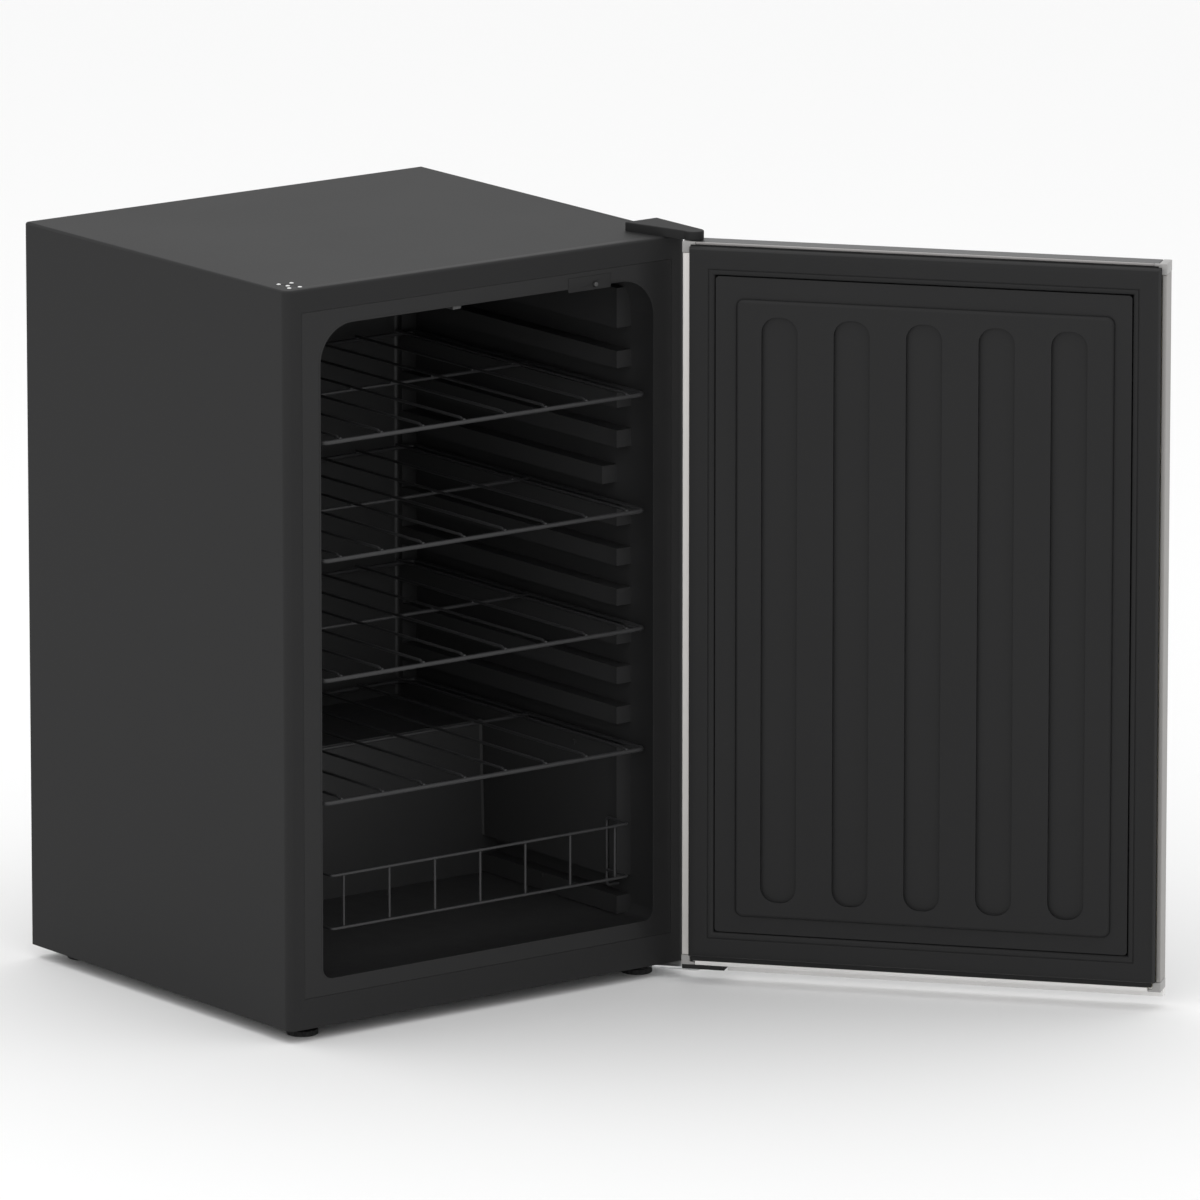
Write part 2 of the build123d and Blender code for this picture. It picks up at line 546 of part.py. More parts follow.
LIP_V = 0.5
LIP_U = 37.6             # the lower lip starts clear of the hinge plate
with BuildPart(DOOR) as bottom_trim:
    with Locations(((TRIM_IN + TRIM_OUT) / 2, (INNER + LIP_V) / 2, 7.4)):
        Box(TRIM_OUT - TRIM_IN - 10.8, LIP_V - INNER, 4.4)
    with Locations(((LIP_U + U1) / 2, (LIP_V + OUTER) / 2, (DOOR_LOW + 5.1) / 2)):
        Box(U1 - LIP_U, OUTER - LIP_V, 5.1 - DOOR_LOW)
    with Locations(((TRIM_IN + TRIM_OUT) / 2, (LIP_V + OUTER) / 2, 7.3)):
        Box(TRIM_OUT - TRIM_IN - 0.4, OUTER - LIP_V, 4.6)
    with Locations((0, 0, 7)):
        Cylinder(PIN_R + 0.6, 30, mode=Mode.SUBTRACT)
keep(bottom_trim.part, "bottom_trim")

with BuildPart(DOOR) as hinge_foot_plate:
    with Locations(((U0 + 37) / 2, (INNER + OUTER) / 2, 2.6)):
        Box(47, OUTER - INNER, 4.6)
    fillet(hinge_foot_plate.edges().filter_by(Axis.Z), 1)
    with Locations((0, 0, 2.6)):
        Cylinder(PIN_R + RUN, 12, mode=Mode.SUBTRACT)
keep(hinge_foot_plate.part, "hinge_foot_plate")

SKIN_LOW = 10.0
SKIN_HIGH = DOOR_TOP - 4.3
with BuildPart(DOOR) as outer_panel:
    with Locations(((U0 + SIDE_U + U1 - FREE_U) / 2, OUTER - 0.6, (SKIN_LOW + SKIN_HIGH) / 2)):
        Box(DOOR_W - SIDE_U - FREE_U - 0.6, 1.0, SKIN_HIGH - SKIN_LOW - 0.2)
    for label, u in (("hinge", U0 + 4.4), ("free", U1 - 4.4)):
        with Locations((u, OUTER, DOOR_TOP - 6), (u, OUTER, 10)):
            Box(10.2, 4, 13.2, mode=Mode.SUBTRACT)
keep(outer_panel.part, "outer_panel")

GASKET_OUT_U0 = U0 + 9.2
GASKET_OUT_U1 = U1 - 5.2
GASKET_LOW = 17.0
GASKET_HIGH = 793.5
GASKET_W = 29.0
PLATEAU_V = -29.5
FLANGE_V = -25.0
SHEET_U0 = -1.2          # flat sheet of the liner, out to the trims
SHEET_U1 = 509.6
SHEET_LOW = 10.2
SHEET_HIGH = 794.4
PANEL_U = 256.5          # raised panel of the liner: centre, size
PANEL_Z = 402.8
PANEL_W = 411.0
PANEL_H = 676.0
HOLLOWS = 5              # tall hollows pressed into it
HOLLOW_W = 39.0
HOLLOW_H = 640.0
HOLLOW_PITCH = 78.6
HOLLOW_DEEP = 5.0
mid_u = (GASKET_OUT_U0 + GASKET_OUT_U1) / 2
mid_z = (GASKET_LOW + GASKET_HIGH) / 2
seal_wide = GASKET_OUT_U1 - GASKET_OUT_U0
seal_tall = GASKET_HIGH - GASKET_LOW

with BuildPart() as door_foam:
    with BuildSketch(door_face(OUTER - 1.2)):
        with Locations(((U0 + SIDE_U + U1 - FREE_U) / 2, (SKIN_LOW + SKIN_HIGH) / 2)):
            Rectangle(DOOR_W - SIDE_U - FREE_U - 1, SKIN_HIGH - SKIN_LOW - 1)
    extrude(amount=OUTER - 1.2 - INNER - 1.4)
    with BuildSketch(door_face(INNER + 1)):
        with Locations((mid_u, mid_z)):
            RectangleRounded(seal_wide - 2 * GASKET_W - 8, seal_tall - 2 * GASKET_W - 8, 8)
    extrude(amount=INNER + 1 - PLATEAU_V - 7.8)
    # clear of the hinge pins and the corner caps
    with Locations((HINGE_X, HINGE_Y, DOOR_TOP)):
        Cylinder(BUSH_R + 0.2, 24.4, mode=Mode.SUBTRACT)
    with Locations((HINGE_X, HINGE_Y, 10)):
        Cylinder(PIN_R + 0.8, 12, mode=Mode.SUBTRACT)
    for u in (U0 + 4.4, U1 - 4.4):
        with Locations(beside_door(u, 0, DOOR_TOP - 5.9), beside_door(u, 0, 10.4)):
            Box(10.6, 60, 13.6, rotation=(0, 0, DOOR_TURN), mode=Mode.SUBTRACT)
keep(door_foam.part, "door_foam")

with BuildPart() as door_liner:
    # flat sheet behind the gasket
    with BuildSketch(door_face(INNER + 0.8)):
        with Locations(((SHEET_U0 + SHEET_U1) / 2, (SHEET_LOW + SHEET_HIGH) / 2)):
            Rectangle(SHEET_U1 - SHEET_U0, SHEET_HIGH - SHEET_LOW)
    extrude(amount=1.6)
    # inner flange, standing a little prouder
    with BuildSketch(door_face(INNER)):
        with Locations((mid_u, mid_z)):
            RectangleRounded(seal_wide - 2 * GASKET_W - 1, seal_tall - 2 * GASKET_W - 1, 4)
    extrude(amount=INNER - FLANGE_V)
    # raised panel with soft edges
    with BuildSketch(door_face(FLANGE_V + 0.2)):
        with Locations((PANEL_U, PANEL_Z)):
            RectangleRounded(PANEL_W, PANEL_H, 9)
    extrude(amount=FLANGE_V - PLATEAU_V)
    fillet(door_liner.faces().sort_by(Axis((HINGE_X, HINGE_Y, 0), OUTWARD))[0].edges(), 4)
    # five tall hollows
    with BuildSketch(door_face(PLATEAU_V - 1)):
        for k in range(HOLLOWS):
            with Locations((PANEL_U + (k - (HOLLOWS - 1) / 2) * HOLLOW_PITCH, PANEL_Z)):
                RectangleRounded(HOLLOW_W, HOLLOW_H, 17)
    extrude(amount=-1 - HOLLOW_DEEP, mode=Mode.SUBTRACT)
    # hollow back that takes the foam
    with BuildSketch(door_face(INNER + 2)):
        with Locations((mid_u, mid_z)):
            RectangleRounded(seal_wide - 2 * GASKET_W - 7, seal_tall - 2 * GASKET_W - 7, 8)
    extrude(amount=INNER + 2 - PLATEAU_V - 7.6, mode=Mode.SUBTRACT)
    # clear of the corner caps
    for u in (U0 + 4.4, U1 - 4.4):
        with Locations(beside_door(u, INNER, DOOR_TOP - 5.9), beside_door(u, INNER, 10.4)):
            Box(10.6, 3.2, 13.6, rotation=(0, 0, DOOR_TURN), mode=Mode.SUBTRACT)
keep(door_liner.part, "door_liner")

with BuildPart() as door_gasket:
    with BuildSketch(door_face(INNER - 1.0)):
        with Locations((mid_u, mid_z)):
            RectangleRounded(seal_wide, seal_tall, 3)
            RectangleRounded(seal_wide - 2 * GASKET_W, seal_tall - 2 * GASKET_W, 3, mode=Mode.SUBTRACT)
    extrude(amount=12.4)
    fillet(door_gasket.faces().sort_by(Axis((HINGE_X, HINGE_Y, 0), OUTWARD))[0].edges(), 4)
keep(door_gasket.part, "door_gasket")

# ---------------------------------------------------------------- cooling system at the rear

with BuildPart() as compressor_plate:
    with Locations((COMP[0], COMP[1], 9.0)):
        Box(156, 104, 2.0)
    with Locations(*at_height(MOUNT_SPOTS, 9)):
        Cylinder(5.2, 10, mode=Mode.SUBTRACT)
keep(compressor_plate.part, "compressor_plate")

with BuildPart() as rubber_mounts:
    with Locations(*at_height(MOUNT_SPOTS, 1.6)):
        Cylinder(9, 6.3, align=(Align.CENTER, Align.CENTER, Align.MIN))
        Cylinder(5.1, 10.5, align=(Align.CENTER, Align.CENTER, Align.MIN))
        with Locations((0, 0, 8.5)):
            Cylinder(8, 3, align=(Align.CENTER, Align.CENTER, Align.MIN))
        Cylinder(3.1, 60, mode=Mode.SUBTRACT)
keep(rubber_mounts.part, "rubber_mounts")

with BuildPart() as mount_bolts:
    with Locations(*at_height(MOUNT_SPOTS, 0)):
        Cylinder(3.0, 16, align=(Align.CENTER, Align.CENTER, Align.MIN))
        Cylinder(6.5, 2.2, align=(Align.CENTER, Align.CENTER, Align.MAX))
        with Locations((0, 0, 13.2)):
            Cylinder(5.5, 4, align=(Align.CENTER, Align.CENTER, Align.MIN))
keep(mount_bolts.part, "mount_bolts")

with BuildPart() as compressor:
    with BuildSketch(Plane.XY.offset(12)):
        with Locations(COMP):
            Ellipse(62, 48)
    extrude(amount=118)
    fillet(compressor.edges().group_by(Axis.Z)[-1], 26)
    fillet(compressor.edges().group_by(Axis.Z)[0], 12)
    with BuildSketch(Plane.XY.offset(66)):
        with Locations(COMP):
            Ellipse(64.5, 50.5)
    extrude(amount=4)
    with Locations((COMP[0], COMP[1], 11)):
        Box(96, 60, 2.0)
keep(compressor.part, "compressor")

with BuildPart() as start_relay_cover:
    with Locations((COMP[0] - 79, COMP[1], 62)):
        Box(26, 52, 58)
    fillet(start_relay_cover.edges(), 3)
    with Locations((COMP[0], COMP[1], 62)):
        Cylinder(66.2, 80, mode=Mode.SUBTRACT)
keep(start_relay_cover.part, "start_relay_cover")

# condenser: a steel tube running back and forth on the rear, with upright wires across it
COIL_Y = BACK + 13
COIL_HALF = 205.0
COIL_RUNS = 12
COIL_LOW = 250.0
COIL_STEP = 42.0
TUBE_R = 2.4
with BuildPart() as condenser_coil:
    for k in range(COIL_RUNS):
        with Locations((0, COIL_Y, COIL_LOW + k * COIL_STEP)):
            Cylinder(TUBE_R, 2 * COIL_HALF, rotation=(0, 90, 0))
    for k in range(COIL_RUNS - 1):
        side = 1 if k % 2 == 0 else -1
        middle = COIL_LOW + (k + 0.5) * COIL_STEP
        with BuildSketch(Plane(origin=(side * COIL_HALF, COIL_Y, middle - COIL_STEP / 2),
                               x_dir=(0, 1, 0), z_dir=(side, 0, 0))):
            Circle(TUBE_R)
        revolve(axis=Axis((side * COIL_HALF, COIL_Y, middle), (0, -side, 0)), revolution_arc=180)
keep(condenser_coil.part, "condenser_coil")

WIRES = 27
WIRE_PITCH = 14.8
with BuildPart() as condenser_wires:
    for k in range(WIRES):
        x = (k - (WIRES - 1) / 2) * WIRE_PITCH
        for y in (COIL_Y - TUBE_R - 0.8, COIL_Y + TUBE_R + 0.8):
            with Locations((x, y, COIL_LOW + (COIL_RUNS - 1) * COIL_STEP / 2)):
                Cylinder(0.75, (COIL_RUNS - 1) * COIL_STEP + 24)
keep(condenser_wires.part, "condenser_wires")

with BuildPart() as condenser_brackets:
    for x in (-180, 180):
        for z in (COIL_LOW + 21, COIL_LOW + 10.5 * COIL_STEP - 21):
            with Locations((x + 7.4, BACK + 4.3, z)):
                Box(12, 9.2, 16)
keep(condenser_brackets.part, "condenser_brackets")

DRIER = (-120, BACK - 30, 66)
with BuildPart() as filter_drier:
    with Locations(DRIER):
        Cylinder(9, 90)
    fillet(filter_drier.edges(), 6)
    with Locations(DRIER):
        Cylinder(2.6, 120)
keep(filter_drier.part, "filter_drier")

HOT_X = COMP[0] + 120     # discharge tube, across and up
HOT_Z = 170.0
with BuildPart() as discharge_tube:
    with BuildLine() as hot_line:
        Polyline((COMP[0], COMP[1], 130.1), (COMP[0], COMP[1], 150), (HOT_X, COMP[1], 150),
                 (HOT_X, COMP[1], HOT_Z))
    with BuildSketch(Plane(origin=hot_line.wires()[0] @ 0, z_dir=(0, 0, 1))):
        Circle(TUBE_R)
    sweep(path=hot_line.wires()[0], transition=Transition.ROUND)
    with Locations((HOT_X, (COMP[1] + COIL_Y) / 2, HOT_Z)):
        Cylinder(TUBE_R, COIL_Y - COMP[1], rotation=(90, 0, 0))
    with Locations((HOT_X, COMP[1], HOT_Z), (HOT_X, COIL_Y, HOT_Z)):
        Sphere(TUBE_R)
    with Locations((HOT_X, COIL_Y, HOT_Z)):
        Cylinder(TUBE_R, COIL_LOW - HOT_Z - TUBE_R - 0.1, align=(Align.CENTER, Align.CENTER, Align.MIN))
keep(discharge_tube.part, "discharge_tube")

PAN = (-190, BACK - 90)
with BuildPart() as drain_pan:
    with Locations((PAN[0], PAN[1], 2)):
        Box(90, 110, 24, align=(Align.CENTER, Align.CENTER, Align.MIN))
    fillet(drain_pan.edges().filter_by(Axis.Z), 8)
    with Locations((PAN[0], PAN[1], 4)):
        Box(86, 106, 30, align=(Align.CENTER, Align.CENTER, Align.MIN), mode=Mode.SUBTRACT)
keep(drain_pan.part, "drain_pan")

INLET_X = 150
INLET_Z = 30
with BuildPart() as mains_inlet_gland:
    with Locations((INLET_X, BACK - 12, INLET_Z)):
        Box(44, 16, 34)
    fillet(mains_inlet_gland.edges().filter_by(Axis.Y), 3)
    with Locations((INLET_X, BACK - 4, INLET_Z)):
        Cylinder(9, 8, rotation=(-90, 0, 0), align=(Align.CENTER, Align.CENTER, Align.MIN))
        Cylinder(4.5, 40, rotation=(90, 0, 0), mode=Mode.SUBTRACT)
    with Locations((INLET_X, BACK - 12, 9)):
        Box(30, 16, 15)
keep(mains_inlet_gland.part, "mains_inlet_gland")
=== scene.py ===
import bpy
import bmesh
import json
import math
from mathutils import Matrix, Vector


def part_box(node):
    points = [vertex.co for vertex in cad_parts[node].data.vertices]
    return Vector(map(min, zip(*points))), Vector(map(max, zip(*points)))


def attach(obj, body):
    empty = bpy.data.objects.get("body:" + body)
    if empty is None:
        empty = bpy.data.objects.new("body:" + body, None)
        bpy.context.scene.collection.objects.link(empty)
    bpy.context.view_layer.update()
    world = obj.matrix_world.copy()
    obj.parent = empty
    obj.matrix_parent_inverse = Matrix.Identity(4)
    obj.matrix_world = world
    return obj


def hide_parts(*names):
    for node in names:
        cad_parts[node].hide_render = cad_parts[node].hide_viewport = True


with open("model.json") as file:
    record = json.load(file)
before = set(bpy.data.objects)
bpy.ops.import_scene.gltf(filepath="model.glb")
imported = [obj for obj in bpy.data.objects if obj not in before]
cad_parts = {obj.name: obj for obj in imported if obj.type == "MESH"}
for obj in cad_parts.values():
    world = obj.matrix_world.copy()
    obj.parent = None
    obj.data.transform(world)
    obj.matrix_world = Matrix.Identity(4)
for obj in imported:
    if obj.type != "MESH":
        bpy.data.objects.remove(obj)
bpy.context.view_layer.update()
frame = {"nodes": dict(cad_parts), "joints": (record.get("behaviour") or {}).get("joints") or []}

nodes = frame["nodes"]

# ------------------------------------------------------------------ camera, floor and light
# A long lens looks down a little on the cooler from its left front corner. The cooler stands on a
# plain pale studio floor, under one wide soft box with a pale sky round it.

SIDE_TURN = math.radians(36.876)
LOOK_DOWN = math.radians(12.70)
CAMERA_REACH = 14.625
LENS = 408.1
AIM_RIGHT = 0.2615
AIM_DOWN = 0.0088

shell_low, shell_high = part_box("cabinet_shell")
front_y = shell_low.y
roof_z = shell_high.z
floor_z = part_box("rear_foot_left")[0].z

look = Vector((math.sin(SIDE_TURN) * math.cos(LOOK_DOWN),
               math.cos(SIDE_TURN) * math.cos(LOOK_DOWN), -math.sin(LOOK_DOWN)))
across = Vector((math.cos(SIDE_TURN), -math.sin(SIDE_TURN), 0))
upward = across.cross(look)
aim = Vector((0, 0, roof_z / 2)) + AIM_RIGHT * across - AIM_DOWN * upward

camera = bpy.data.objects.new("camera", bpy.data.cameras.new("camera"))
camera.data.lens = LENS
camera.data.clip_end = 60
camera.location = aim - CAMERA_REACH * look
camera.rotation_euler = look.to_track_quat("-Z", "Y").to_euler()
bpy.context.scene.collection.objects.link(camera)
bpy.context.scene.camera = camera


def soft_box(name, place, target, size, watts):
    lamp = bpy.data.lights.new(name, "AREA")
    lamp.shape = "RECTANGLE"
    lamp.size, lamp.size_y = size
    lamp.energy = watts
    holder = bpy.data.objects.new(name, lamp)
    holder.location = place
    holder.rotation_euler = (Vector(target) - Vector(place)).to_track_quat("-Z", "Y").to_euler()
    bpy.context.scene.collection.objects.link(holder)


soft_box("overhead_box", (-0.6, 0.2, 3.6), (0, 0, 0.4), (3.4, 3.4), 24)
soft_box("left_box", (-3.4, -2.6, 1.9), (0, 0, 0.4), (3.0, 2.6), 16)

sky = bpy.data.worlds.new("studio_sky")
sky.use_nodes = True
sky.node_tree.nodes["Background"].inputs["Color"].default_value = (1, 1, 1, 1)
sky.node_tree.nodes["Background"].inputs["Strength"].default_value = 1.08
bpy.context.scene.world = sky
bpy.context.scene.view_settings.view_transform = "Standard"

bm = bmesh.new()
bmesh.ops.create_grid(bm, x_segments=1, y_segments=1, size=14)
bmesh.ops.translate(bm, vec=(0, 0, floor_z), verts=bm.verts)
floor_mesh = bpy.data.meshes.new("studio_floor")
bm.to_mesh(floor_mesh)
bm.free()
floor = bpy.data.objects.new("studio_floor", floor_mesh)
bpy.context.scene.collection.objects.link(floor)
floor_finish = bpy.data.materials.new("studio_floor")
floor_finish.use_nodes = True
floor_shader = floor_finish.node_tree.nodes["Principled BSDF"]
floor_shader.inputs["Base Color"].default_value = (0.86, 0.86, 0.86, 1)
floor_shader.inputs["Roughness"].default_value = 0.9
floor_mesh.materials.append(floor_finish)

# ------------------------------------------------------------------ painted steel cabinet
# The cabinet is one sheet of steel folded over the sides and top, with its edges turned in round the
# mouth. It is powder coated dark grey, which leaves a very fine orange-peel texture.


class Field:
    """A shader socket that takes part in sums, so that a pattern reads as an expression."""

    def __init__(self, finish, socket):
        self.finish = finish
        self.socket = socket

    def math(self, operation, other):
        return self.finish.node("ShaderNodeMath", settings={"operation": operation},
                                numbered={0: self, 1: other})

    def __add__(self, other):
        return self.math("ADD", other)

    def __mul__(self, other):
        return self.math("MULTIPLY", other)

    __radd__ = __add__
    __rmul__ = __mul__


class Finish:
    """A material with one Principled shader, and one way to add any other node."""

    def __init__(self, name, **plain):
        self.material = bpy.data.materials.new(name)
        self.material.use_nodes = True
        self.tree = self.material.node_tree
        self.shader = self.tree.nodes["Principled BSDF"]
        self.set(**plain)
        self.object_place = self.node("ShaderNodeTexCoord", out="Object")

    def plug(self, slot, value):
        if isinstance(value, Field):
            self.tree.links.new(value.socket, slot)
        else:
            slot.default_value = value

    def node(self, kind, out=0, settings=None, numbered=None, **sockets):
        new = self.tree.nodes.new(kind)
        for key, value in (settings or {}).items():
            setattr(new, key, value)
        for number, value in (numbered or {}).items():
            self.plug(new.inputs[number], value)
        for socket, value in sockets.items():
            self.plug(new.inputs[socket.replace("_", " ")], value)
        return Field(self, new.outputs[out])

    def noise(self, scale, detail=3.0, roughness=0.5):
        return self.node("ShaderNodeTexNoise", Vector=self.object_place, Scale=scale, Detail=detail,
                         Roughness=roughness)

    def inwards(self, near, far):
        """From nothing at one depth into the cabinet to full at another."""
        depth = self.node("ShaderNodeSeparateXYZ", out=1, Vector=self.object_place)
        return self.node("ShaderNodeMapRange", Value=depth, From_Min=near, From_Max=far)

    def colour_mix(self, mask, low, high):
        return self.node("ShaderNodeMix", out=2, settings={"data_type": "RGBA"},
                         numbered={0: mask, 6: (*low, 1), 7: (*high, 1)})

    def set(self, **sockets):
        for socket, value in sockets.items():
            self.plug(self.shader.inputs[socket.replace("_", " ")], value)

    def bump(self, height, distance, strength=1.0):
        self.set(Normal=self.node("ShaderNodeBump", Height=height, Distance=distance, Strength=strength))


MERGE = 1e-6
FLAT = math.radians(0.5)


def merged_copy(node):
    """A CAD node's shape as one clean shell, ready for soft edges."""
    shape = bmesh.new()
    shape.from_mesh(nodes[node].data)
    bmesh.ops.remove_doubles(shape, verts=shape.verts, dist=MERGE)
    bmesh.ops.dissolve_limit(shape, angle_limit=FLAT, verts=shape.verts, edges=shape.edges)
    return shape


def crisp_edges(shape, degrees=30, keep=lambda edge: True):
    return [e for e in shape.edges if len(e.link_faces) == 2
            and e.calc_face_angle(0) > math.radians(degrees) and keep(e)]


def soften(shape, width, segments=3, edges=None):
    bmesh.ops.bevel(shape, geom=crisp_edges(shape) if edges is None else edges, offset=width,
                    offset_type="OFFSET", affect="EDGES", segments=segments, profile=0.5, material=-1,
                    clamp_overlap=True)


BROAD = 0.011   # a face at least this wide is flat sheet and keeps its own flat shading


def finish_piece(name, shape, finish, body, stands_for=(), smooth=32):
    """Turns a bmesh into a piece that rides on a body and stands for its CAD nodes."""
    mesh = bpy.data.meshes.new(name)
    shape.to_mesh(mesh)
    shape.free()
    mesh.materials.append(finish.material)
    if "custom_normal" in mesh.attributes:
        mesh.attributes.remove(mesh.attributes["custom_normal"])
    mesh.set_sharp_from_angle(angle=math.radians(smooth))
    for face in mesh.polygons:
        longest = max(math.dist(mesh.vertices[a].co, mesh.vertices[b].co) for a, b in face.edge_keys)
        face.use_smooth = face.area < BROAD * longest
    piece = bpy.data.objects.new(name, mesh)
    bpy.context.scene.collection.objects.link(piece)
    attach(piece, body)
    if stands_for:
        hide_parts(*stands_for)
    return piece


def paint(node, finish):
    """Gives a CAD node that keeps its own mesh its finish."""
    mesh = nodes[node].data
    mesh.materials.clear()
    mesh.materials.append(finish.material)


FOLD_R = 0.0005
cabinet_paint = Finish("cabinet_paint", Roughness=0.55, IOR=1.3)
peel = cabinet_paint.noise(420, detail=2.0)
cloud = cabinet_paint.noise(5.0, detail=4.0)
cabinet_paint.set(Base_Color=cabinet_paint.colour_mix(cloud, (0.0125, 0.0125, 0.0128),
                                                      (0.0145, 0.0145, 0.0148)),
                  Roughness=0.56 + 0.06 * cloud + 0.05 * peel)
cabinet_paint.bump(peel, 0.00006, 0.25)

bm = merged_copy("cabinet_shell")
soften(bm, FOLD_R, 2, crisp_edges(bm, 50))
finish_piece("folded_cabinet", bm, cabinet_paint, "cabinet", ["cabinet_shell"])
for node in ("rear_panel", "base_plate", "bay_partition"):
    paint(node, cabinet_paint)

# ------------------------------------------------------------------ roof hole plugs
# The roof is drilled for a hinge on either side. The spare holes at the left front corner are closed
# with small domed plugs of pale nylon.

plug_nylon = Finish("plug_nylon", Roughness=0.45)
plug_nylon.set(Base_Color=plug_nylon.colour_mix(plug_nylon.noise(300), (0.62, 0.62, 0.62),
                                                (0.75, 0.75, 0.74)))
bm = merged_copy("hinge_hole_plugs")
soften(bm, 0.0003, 2)
finish_piece("roof_plugs", bm, plug_nylon, "cabinet", ["hinge_hole_plugs"])

# ------------------------------------------------------------------ vacuum formed liner
# One sheet of glossy black plastic is drawn into the cabinet: walls, shelf ribs, the step over the
# compressor and the flange that meets the steel. Drawing leaves every edge soft. Its colour is painted
# lighter deeper inside, as a painted fill light on the shaded compartment.

liner_gloss = Finish("liner_gloss", Roughness=0.36, IOR=1.33)
ripple = liner_gloss.noise(14, detail=2.0)
haze = liner_gloss.noise(40, detail=4.0, roughness=0.55)
# painted fill light: the liner's base colour is made lighter deeper into the cabinet to brighten the
# shaded inside, while the flange at the mouth keeps the darker tone
painted_fill_depth = liner_gloss.inwards(front_y + 0.004, front_y + 0.06)
liner_gloss.set(Base_Color=liner_gloss.colour_mix(painted_fill_depth * (0.8 + 0.2 * haze), (0.0125, 0.0125, 0.0128),
                                                  (0.0270, 0.0270, 0.0274)),
                Roughness=0.34 + 0.10 * haze)
liner_gloss.bump(ripple, 0.0010, 0.25)

TUB_HALF = 0.2185
TUB_LOW = 0.051
TUB_HIGH = 0.756
COLUMN_X = 0.1995
REAR_WALL_Y = front_y + 0.439
STEP_Y = front_y + 0.284
LIP_R = 0.0048
COVE_R = 0.0055
NEAR = 5e-4
mouth_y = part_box("inner_liner")[0].y
bm = merged_copy("inner_liner")


def in_mouth(edge):
    """The edges where the flange turns into the compartment."""
    a, b = (v.co for v in edge.verts)
    return (max(abs(a.y - mouth_y), abs(b.y - mouth_y)) < NEAR
            and max(abs(a.x), abs(b.x)) < TUB_HALF + 2 * NEAR
            and TUB_LOW - 2 * NEAR < min(a.z, b.z) and max(a.z, b.z) < TUB_HIGH + 2 * NEAR)


def upright_cove(edge):
    """The upright inner corners at the rear wall and beside the step."""
    a, b = (v.co for v in edge.verts)
    upright = abs(a.x - b.x) < MERGE * 10 and abs(a.y - b.y) < MERGE * 10 and abs(a.z - b.z) > 0.02
    at_wall = abs(a.y - REAR_WALL_Y) < NEAR or abs(a.y - STEP_Y) < NEAR
    return upright and at_wall and abs(abs(a.x) - COLUMN_X) < NEAR


soften(bm, LIP_R, 5, crisp_edges(bm, 30, in_mouth))
soften(bm, COVE_R, 4, crisp_edges(bm, 60, upright_cove))
soften(bm, 0.0012, 2, crisp_edges(bm, 55))
finish_piece("drawn_liner", bm, liner_gloss, "cabinet", ["inner_liner"])

# ------------------------------------------------------------------ insulation and hidden sheets
# Poured polyurethane foam fills the walls and the door; it shows only where a panel is off. The cold
# plate and the drain hose lie in it.

foam_cells = Finish("foam_cells", Roughness=0.95)
cells = foam_cells.node("ShaderNodeTexVoronoi", Vector=foam_cells.object_place, Scale=350.0)
foam_cells.set(Base_Color=foam_cells.colour_mix(cells, (0.70, 0.62, 0.38), (0.80, 0.73, 0.50)))
foam_cells.bump(cells, 0.0006)
for node in ("insulation_foam", "door_foam"):
    paint(node, foam_cells)
plate_metal = Finish("plate_metal", Metallic=1.0, Roughness=0.35)
plate_metal.set(Base_Color=plate_metal.colour_mix(plate_metal.noise(40), (0.62, 0.63, 0.64),
                                                  (0.72, 0.73, 0.74)))
paint("cold_plate", plate_metal)
hose = Finish("hose", Roughness=0.5)
hose.set(Base_Color=hose.colour_mix(hose.noise(80), (0.25, 0.25, 0.25), (0.32, 0.32, 0.31)))
paint("drain_tube", hose)

# ------------------------------------------------------------------ moulded dark plastic parts
# The hinge cover, the switch bezel, the thermostat, the door's top cap, the hinge plate and the feet
# are injection moulded in black plastic with a fine spark texture.

dark_plastic = Finish("dark_plastic", Roughness=0.6, IOR=1.3)
spark = dark_plastic.noise(1600, detail=2.0)
dark_plastic.set(Base_Color=dark_plastic.colour_mix(spark, (0.0130, 0.0130, 0.0133),
                                                    (0.0165, 0.0165, 0.0168)),
                 Roughness=0.60 + 0.16 * spark)
dark_plastic.bump(spark, 0.00010, 0.5)

MOULDED = (("hinge_cover", "cabinet", 0.0008), ("control_bezel", "cabinet", 0.0005),
           ("thermostat_housing", "cabinet", 0.0006), ("thermostat_knob", "knob", 0.0006),
           ("start_relay_cover", "cabinet", 0.0005), ("mains_inlet_gland", "cabinet", 0.0008),
           ("rear_foot_left", "cabinet", 0.0008), ("rear_foot_right", "cabinet", 0.0008),
           ("levelling_foot_left", "foot_left", 0.0006), ("levelling_foot_right", "foot_right", 0.0006),
           ("drain_pan", "cabinet", 0.0006))
for node, body, edge in MOULDED:
    bm = merged_copy(node)
    soften(bm, edge, 2)
    finish_piece("moulded_" + node, bm, dark_plastic, body, [node])

# ------------------------------------------------------------------ door switch and lamp lens
# A pale spring plunger stands out of the bezel and is pushed in by the door. A frosted lens for the
# inside lamp hangs from the upper wall.

plunger_nylon = Finish("plunger_nylon", Roughness=0.35)
plunger_nylon.set(Base_Color=plunger_nylon.colour_mix(plunger_nylon.noise(200), (0.035, 0.035, 0.035),
                                                      (0.050, 0.050, 0.050)))
bm = merged_copy("switch_plunger")
finish_piece("spring_plunger", bm, plunger_nylon, "plunger", ["switch_plunger"])
frosted = Finish("frosted_lens", Roughness=0.3)
frosted.set(Base_Color=frosted.colour_mix(frosted.noise(500), (0.030, 0.030, 0.030),
                                          (0.045, 0.045, 0.045)))
bm = merged_copy("lamp_lens")
soften(bm, 0.0004, 2)
finish_piece("frosted_lamp_lens", bm, frosted, "cabinet", ["lamp_lens"])

# ------------------------------------------------------------------ wire shelves
# Each shelf is a loop of thick wire with a stay across the middle. Eight thin wires are welded over it
# and turned down on to the front wire, then the whole is dipped in dark grey plastic.

